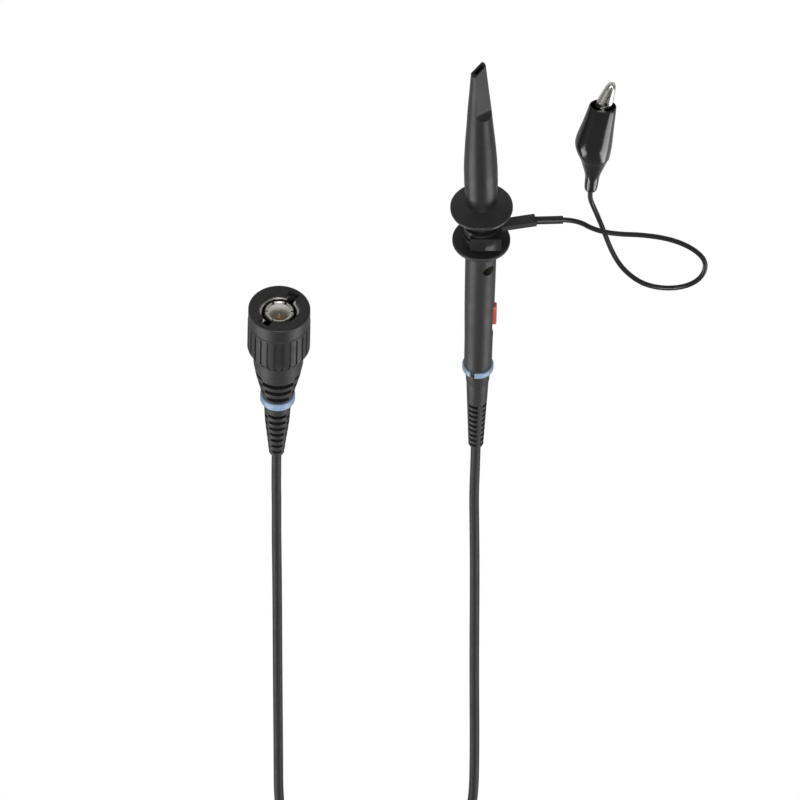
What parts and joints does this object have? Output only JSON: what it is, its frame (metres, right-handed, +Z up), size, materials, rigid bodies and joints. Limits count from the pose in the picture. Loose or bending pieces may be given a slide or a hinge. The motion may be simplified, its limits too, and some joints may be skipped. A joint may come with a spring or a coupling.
{
  "type": "oscilloscope probe",
  "caption": "Passive oscilloscope probe with sprung hook tip, swivelling ground lead with alligator clip, range switch, coiled coaxial cable and bayonet coaxial plug.",
  "frame": {"origin": "bottom centre of the bounding box of the probe without its cable and plug, on the surface it lies on", "axes": "+Z up from the surface, the probe's axis along Y with the hook tip towards -Y and the cable towards +Y"},
  "size_m": [0.127, 0.3681, 0.0174],
  "materials": {
    "body_plastic": "satin",
    "sleeve_plastic": "satin",
    "cover_plastic": "satin",
    "relief_rubber": "matte",
    "grip_plastic": "matte",
    "cable_jacket": "satin",
    "wire_jacket": "satin",
    "boot_vinyl": "gloss",
    "ring_blue": "gloss",
    "switch_red": "satin",
    "insulator_white": "satin",
    "nose_plastic": "satin",
    "nickel": "satin",
    "bright_nickel": "polished",
    "steel": "satin",
    "brass": "polished",
    "gold": "polished",
    "gasket_rubber": "matte",
    "board_green": "satin",
    "chip_ceramic": "satin",
    "tie_plastic": "satin"
  },
  "bodies": {
    "probe": {"handle_shell": "body_plastic", "shield_tube": "nickel", "ground_barrel": "bright_nickel", "nose_insulator": "nose_plastic", "tip_needle": "steel", "divider_board": "board_green", "divider_chips": "chip_ceramic", "trimmer_body": "chip_ceramic", "probe_colour_ring": "ring_blue", "probe_strain_relief": "relief_rubber", "probe_cable_end": "cable_jacket", "bnc_wave_washer": "steel", "bnc_retaining_ring": "steel", "bnc_outer_contact": "nickel", "bnc_insulator": "insulator_white", "bnc_centre_pin": "gold", "bnc_gasket": "gasket_rubber", "bnc_crimp_ferrule": "nickel", "connector_boot": "relief_rubber", "bnc_colour_ring": "ring_blue", "connector_cable_end": "cable_jacket", "cable_probe_run": "cable_jacket", "cable_connector_run": "cable_jacket", "cable_coil": "cable_jacket", "coil_tie": "tie_plastic"},
    "trimmer": {"trimmer_screw": "brass"},
    "switch": {"switch_knob": "switch_red", "switch_contact": "brass"},
    "hook_tip": {"hook_carrier": "body_plastic", "hook_socket": "nickel", "hook_wire": "bright_nickel", "hook_spring": "steel"},
    "hook_outer": {"hook_sleeve": "sleeve_plastic"},
    "ground_ring": {"ground_clip_ring": "bright_nickel", "ground_ring_cover": "cover_plastic", "ground_lead_sleeve": "cover_plastic", "ground_lead": "wire_jacket", "clip_boot": "boot_vinyl", "clip_wire_end": "wire_jacket", "clip_fixed_jaw": "bright_nickel", "clip_pivot_pin": "steel", "clip_spring": "steel"},
    "clip_jaw": {"clip_moving_jaw": "bright_nickel"},
    "bayonet": {"bnc_grip_sleeve": "grip_plastic", "bnc_bayonet_nut": "nickel"}
  },
  "joints": [
    {"name": "trimmer_turn", "type": "hinge", "parent": "probe", "child": "trimmer", "pos_m": [0, 0.0027, 0.00865], "axis": [-0.5446, 0, 0.8387], "continuous": true},
    {"name": "switch_slide", "type": "slide", "parent": "probe", "child": "switch", "axis": [0, 1, 0], "range_m": [0, 0.003]},
    {"name": "hook_tip_pull", "type": "slide", "parent": "probe", "child": "hook_tip", "axis": [0, -1, 0], "range_m": [0, 0.04]},
    {"name": "hook_retract", "type": "slide", "parent": "hook_tip", "child": "hook_outer", "axis": [0, 1, 0], "range_m": [0, 0.0055], "stiffness_N_per_m": 300, "springref_m": -0.004, "deforming": ["hook_spring"]},
    {"name": "ground_ring_swivel", "type": "hinge", "parent": "probe", "child": "ground_ring", "pos_m": [0, -0.0103, 0.00865], "axis": [0, -1, 0], "continuous": true},
    {"name": "clip_jaw_open", "type": "hinge", "parent": "ground_ring", "child": "clip_jaw", "pos_m": [-0.03252, -0.05647, 0.0045], "axis": [0, 0, 1], "range_deg": [0, 18], "stiffness_Nm_per_rad": 0.12, "springref_deg": -22.92},
    {"name": "bayonet_turn", "type": "hinge", "parent": "probe", "child": "bayonet", "pos_m": [0.0553, 0.0229, 0.0087], "axis": [0, -1, 0], "continuous": true}
  ]
}
